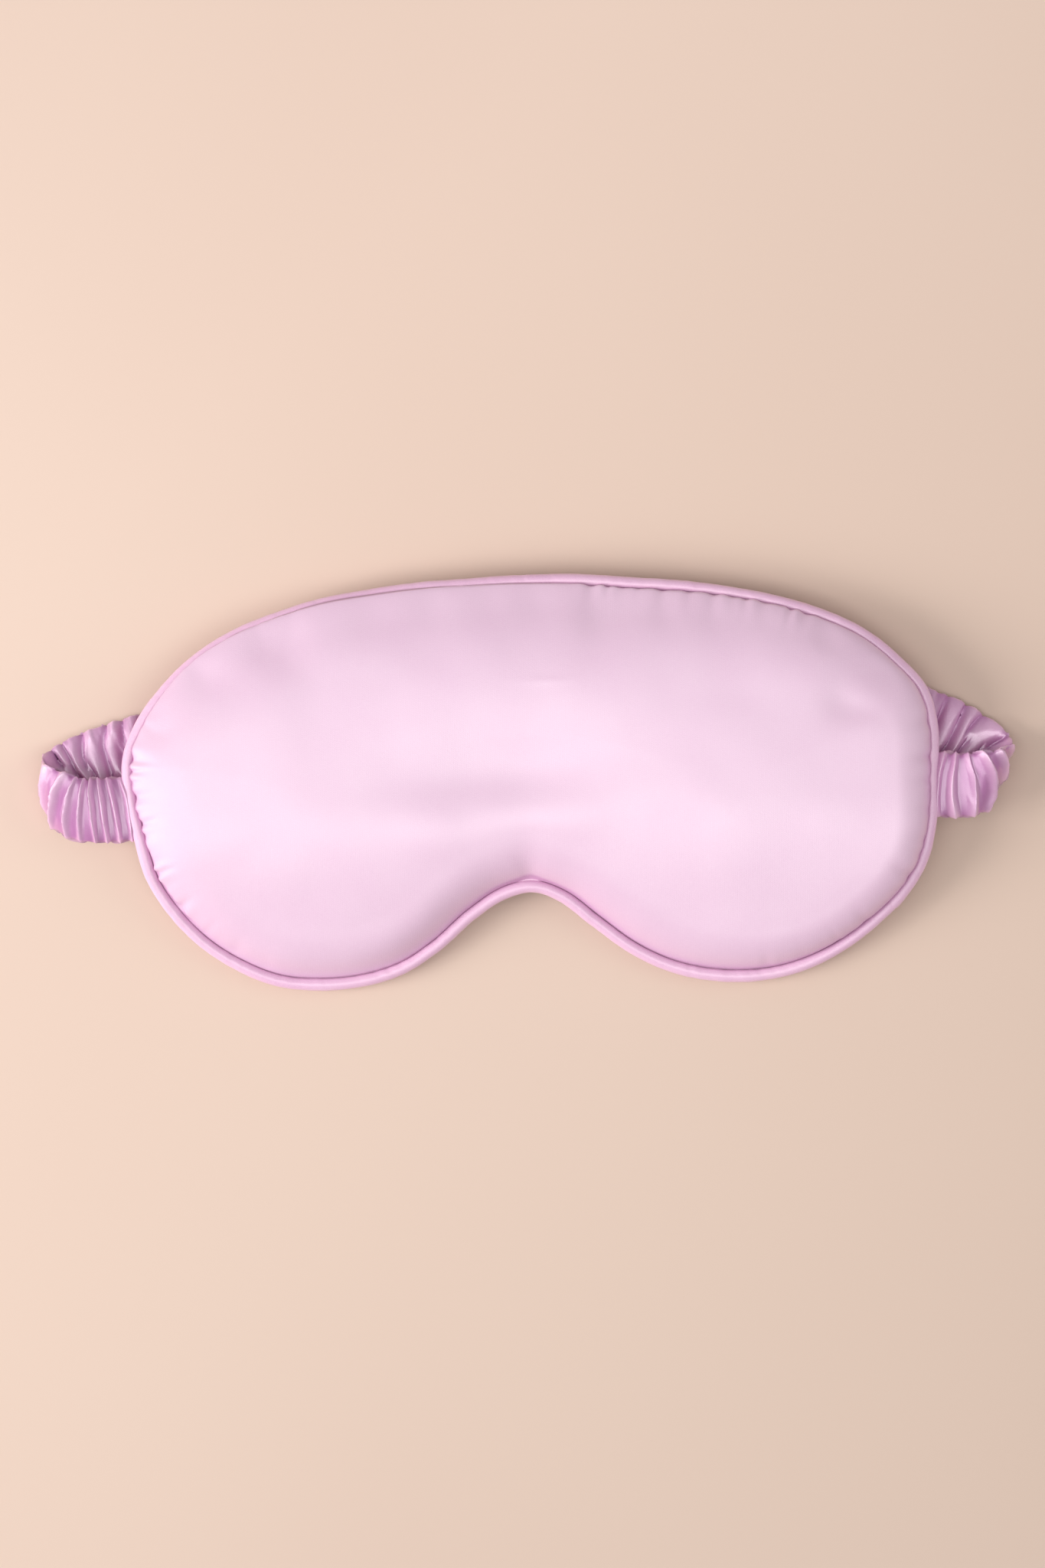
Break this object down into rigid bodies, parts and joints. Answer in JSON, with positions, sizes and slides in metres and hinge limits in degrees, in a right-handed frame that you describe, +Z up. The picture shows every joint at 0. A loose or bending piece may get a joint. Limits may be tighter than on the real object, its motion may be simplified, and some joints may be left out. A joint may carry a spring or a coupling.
{
  "type": "sleep eye mask",
  "caption": "Padded satin sleep mask with a nose notch, piped edge and gathered elastic strap; the pad bends at the bridge and the strap stretches.",
  "frame": {"origin": "on the table plane, midway between the tips of the two strap loops and midway between the forehead edge and the cheek edge of the pad", "axes": "+Z up out of the front face with the mask lying on its back, +X to the right across the mask, +Y towards the forehead edge"},
  "size_m": [0.251, 0.1059, 0.018],
  "materials": {
    "satin_front": "satin",
    "satin_lining": "satin",
    "satin_piping": "satin",
    "satin_sleeve": "satin",
    "wadding": "matte",
    "blackout": "matte",
    "cotton_cord": "matte",
    "thread": "satin",
    "elastic": "matte"
  },
  "bodies": {
    "strap_left": {"sleeve_rear_left": "satin_sleeve", "elastic_rear_left": "elastic"},
    "pad_left": {"front_panel_left": "satin_front", "back_panel_left": "satin_lining", "front_wadding_left": "wadding", "blackout_layer_left": "blackout", "back_wadding_left": "wadding", "piping_cover_left": "satin_piping", "piping_cord_left": "cotton_cord", "seam_thread_left": "thread", "end_tack_left": "thread"},
    "pad_right": {"front_panel_right": "satin_front", "back_panel_right": "satin_lining", "front_wadding_right": "wadding", "blackout_layer_right": "blackout", "back_wadding_right": "wadding", "piping_cover_right": "satin_piping", "piping_cord_right": "cotton_cord", "seam_thread_right": "thread", "end_tack_right": "thread"},
    "strap_right": {"sleeve_rear_right": "satin_sleeve", "elastic_rear_right": "elastic"},
    "loop_left": {"sleeve_loop_left": "satin_sleeve", "elastic_loop_left": "elastic"},
    "loop_right": {"sleeve_loop_right": "satin_sleeve", "elastic_loop_right": "elastic"}
  },
  "joints": [
    {"name": "wrap", "type": "hinge", "parent": "strap_left", "child": "pad_left", "pos_m": [-0.1033, 0, 0.01], "axis": [0, -1, 0], "range_deg": [0, 30]},
    {"name": "bridge_fold", "type": "hinge", "parent": "pad_left", "child": "pad_right", "pos_m": [0, 0, 0.01], "axis": [0, -1, 0], "range_deg": [-60, 0]},
    {"name": "right_seam_turn", "type": "hinge", "parent": "pad_right", "child": "strap_right", "pos_m": [0.1033, 0, 0.01], "axis": [0, -1, 0], "range_deg": [0, 30]},
    {"name": "left_strap_pull", "type": "slide", "parent": "strap_left", "child": "loop_left", "axis": [-1, 0, 0], "range_m": [0, 0.025], "stiffness_N_per_m": 60},
    {"name": "right_strap_pull", "type": "slide", "parent": "strap_right", "child": "loop_right", "axis": [1, 0, 0], "range_m": [0, 0.025], "stiffness_N_per_m": 60}
  ],
  "couplings": [
    {"joint": "bridge_fold", "follows": "wrap", "ratio": -2},
    {"joint": "right_seam_turn", "follows": "wrap", "ratio": 1}
  ]
}
